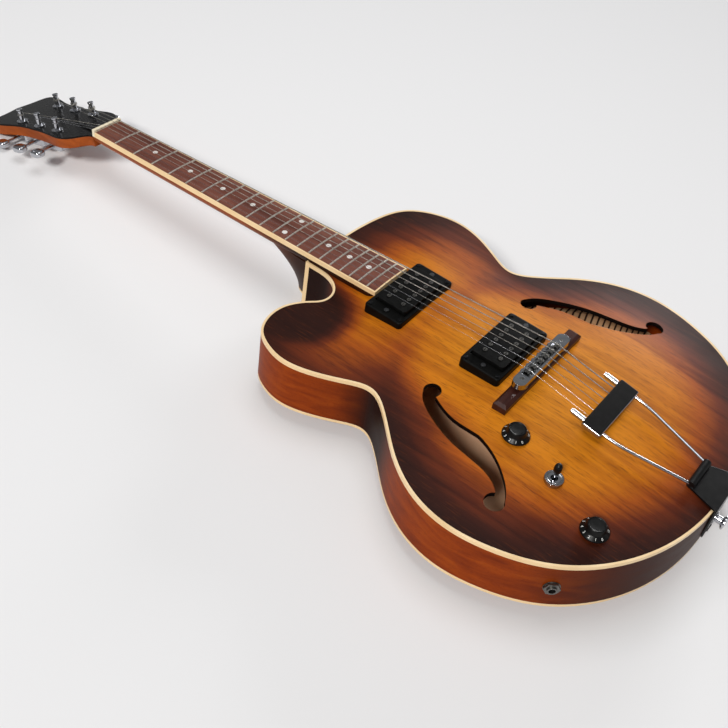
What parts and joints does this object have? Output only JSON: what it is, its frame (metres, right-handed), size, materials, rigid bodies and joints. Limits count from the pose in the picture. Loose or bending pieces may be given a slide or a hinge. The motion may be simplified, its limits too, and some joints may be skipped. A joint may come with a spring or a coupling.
{
  "type": "electric archtop guitar",
  "caption": "Left-handed hollow-body archtop electric guitar with cutaway, f-shaped sound holes, pickups, floating bridge, trapeze tailpiece, turning tuners, knobs and switch.",
  "frame": {"origin": "where the tail strap button seats on the outer face of the tail bracket, half way up the sides", "axes": "+Y from tail to headstock, +Z out of the top, cutaway and treble side at -X"},
  "size_m": [0.424, 1.0357, 0.116],
  "materials": {
    "top_wood": "satin sunburst lacquer",
    "body_wood": "satin tinted lacquer",
    "inner_wood": "bare",
    "binding": "cream",
    "neck_wood": "satin tinted lacquer",
    "heel_cap": "cream",
    "head_face": "gloss black veneer",
    "truss_steel": "plain",
    "cover_plastic": "gloss black",
    "board_wood": "oiled",
    "fret_metal": "polished",
    "dot_pearl": "pearl",
    "nut_bone": "bone",
    "tuner_metal": "polished",
    "tuner_button": "polished",
    "wound_string": "wound",
    "plain_string": "bright",
    "ring_plastic": "black",
    "cover_black": "black",
    "pole_metal": "dull nickel",
    "screw_metal": "nickel",
    "bridge_wood": "polished",
    "bridge_metal": "polished",
    "tail_black": "gloss black",
    "rod_chrome": "polished",
    "strap_chrome": "polished",
    "knob_black": "black",
    "pot_metal": "plain",
    "toggle_tip": "black",
    "toggle_metal": "polished",
    "jack_metal": "polished"
  },
  "bodies": {
    "guitar": {"top_plate": "top_wood", "rim": "body_wood", "back_plate": "body_wood", "top_lining": "inner_wood", "back_lining": "inner_wood", "neck_block": "inner_wood", "tail_block": "inner_wood", "tone_bars": "inner_wood", "top_binding": "binding", "back_binding": "binding", "corner_binding": "binding", "fingerboard_binding": "binding", "neck": "neck_wood", "heel_cap": "heel_cap", "headstock_face": "head_face", "truss_rod": "truss_steel", "truss_rod_cover": "cover_plastic", "fingerboard": "board_wood", "frets": "fret_metal", "position_dots": "dot_pearl", "nut": "nut_bone", "tuner_housings": "tuner_metal", "tuner_bushings": "tuner_metal", "wound_strings": "wound_string", "plain_strings": "plain_string", "pickup_rings": "ring_plastic", "pickup_covers": "cover_black", "pole_screws": "pole_metal", "adjusting_screws": "screw_metal", "fixing_screws": "screw_metal", "bridge_base": "bridge_wood", "bridge_studs": "bridge_metal", "bridge_body": "bridge_metal", "bridge_saddles": "bridge_metal", "tailpiece_bar": "tail_black", "tailpiece_bracket": "tail_black", "tailpiece_rods": "rod_chrome", "strap_buttons": "strap_chrome", "potentiometers": "pot_metal", "toggle_switch": "toggle_metal", "output_jack": "jack_metal"},
    "button_1": {"tuner_button_1": "tuner_button"},
    "post_1": {"tuner_post_1": "tuner_metal"},
    "button_2": {"tuner_button_2": "tuner_button"},
    "post_2": {"tuner_post_2": "tuner_metal"},
    "button_3": {"tuner_button_3": "tuner_button"},
    "post_3": {"tuner_post_3": "tuner_metal"},
    "button_4": {"tuner_button_4": "tuner_button"},
    "post_4": {"tuner_post_4": "tuner_metal"},
    "button_5": {"tuner_button_5": "tuner_button"},
    "post_5": {"tuner_post_5": "tuner_metal"},
    "button_6": {"tuner_button_6": "tuner_button"},
    "post_6": {"tuner_post_6": "tuner_metal"},
    "volume": {"volume_knob": "knob_black", "volume_shaft": "pot_metal"},
    "tone": {"tone_knob": "knob_black", "tone_shaft": "pot_metal"},
    "toggle": {"toggle_lever": "toggle_tip"},
    "wheel_treble": {"thumbwheel_treble": "bridge_metal"},
    "wheel_bass": {"thumbwheel_bass": "bridge_metal"}
  },
  "joints": [
    {"name": "button_1_turn", "type": "hinge", "parent": "guitar", "child": "button_1", "pos_m": [0.029, 0.90447, -0.0219], "axis": [1, 0, 0], "continuous": true},
    {"name": "post_1_turn", "type": "hinge", "parent": "guitar", "child": "post_1", "pos_m": [0.029, 0.90331, -0.00175], "axis": [0, 0.2823, 0.9593], "continuous": true},
    {"name": "button_2_turn", "type": "hinge", "parent": "guitar", "child": "button_2", "pos_m": [0.029, 0.93996, -0.03234], "axis": [1, 0, 0], "continuous": true},
    {"name": "post_2_turn", "type": "hinge", "parent": "guitar", "child": "post_2", "pos_m": [0.029, 0.93881, -0.0122], "axis": [0, 0.2823, 0.9593], "continuous": true},
    {"name": "button_3_turn", "type": "hinge", "parent": "guitar", "child": "button_3", "pos_m": [0.029, 0.97546, -0.04279], "axis": [1, 0, 0], "continuous": true},
    {"name": "post_3_turn", "type": "hinge", "parent": "guitar", "child": "post_3", "pos_m": [0.029, 0.9743, -0.02264], "axis": [0, 0.2823, 0.9593], "continuous": true},
    {"name": "button_4_turn", "type": "hinge", "parent": "guitar", "child": "button_4", "pos_m": [-0.029, 0.97546, -0.04279], "axis": [-1, 0, 0], "continuous": true},
    {"name": "post_4_turn", "type": "hinge", "parent": "guitar", "child": "post_4", "pos_m": [-0.029, 0.9743, -0.02264], "axis": [0, 0.2823, 0.9593], "continuous": true},
    {"name": "button_5_turn", "type": "hinge", "parent": "guitar", "child": "button_5", "pos_m": [-0.029, 0.93996, -0.03234], "axis": [-1, 0, 0], "continuous": true},
    {"name": "post_5_turn", "type": "hinge", "parent": "guitar", "child": "post_5", "pos_m": [-0.029, 0.93881, -0.0122], "axis": [0, 0.2823, 0.9593], "continuous": true},
    {"name": "button_6_turn", "type": "hinge", "parent": "guitar", "child": "button_6", "pos_m": [-0.029, 0.90447, -0.0219], "axis": [-1, 0, 0], "continuous": true},
    {"name": "post_6_turn", "type": "hinge", "parent": "guitar", "child": "post_6", "pos_m": [-0.029, 0.90331, -0.00175], "axis": [0, 0.2823, 0.9593], "continuous": true},
    {"name": "volume_turn", "type": "hinge", "parent": "guitar", "child": "volume", "pos_m": [-0.08904, 0.18404, 0.031], "axis": [0, 0, 1], "range_deg": [-150, 150]},
    {"name": "tone_turn", "type": "hinge", "parent": "guitar", "child": "tone", "pos_m": [-0.12762, 0.07482, 0.031], "axis": [0, 0, 1], "range_deg": [-150, 150]},
    {"name": "toggle_swing", "type": "hinge", "parent": "guitar", "child": "toggle", "pos_m": [-0.10748, 0.13041, 0.03661], "axis": [1, 0, 0], "range_deg": [-12, 12]},
    {"name": "wheel_treble_turn", "type": "hinge", "parent": "guitar", "child": "wheel_treble", "pos_m": [-0.038, 0.21325, 0.031], "axis": [0, 0, 1], "continuous": true},
    {"name": "wheel_bass_turn", "type": "hinge", "parent": "guitar", "child": "wheel_bass", "pos_m": [0.038, 0.21325, 0.031], "axis": [0, 0, 1], "continuous": true}
  ],
  "couplings": [
    {"joint": "post_1_turn", "follows": "button_1_turn", "ratio": 0.071429},
    {"joint": "post_2_turn", "follows": "button_2_turn", "ratio": 0.071429},
    {"joint": "post_3_turn", "follows": "button_3_turn", "ratio": 0.071429},
    {"joint": "post_4_turn", "follows": "button_4_turn", "ratio": 0.071429},
    {"joint": "post_5_turn", "follows": "button_5_turn", "ratio": 0.071429},
    {"joint": "post_6_turn", "follows": "button_6_turn", "ratio": 0.071429}
  ]
}
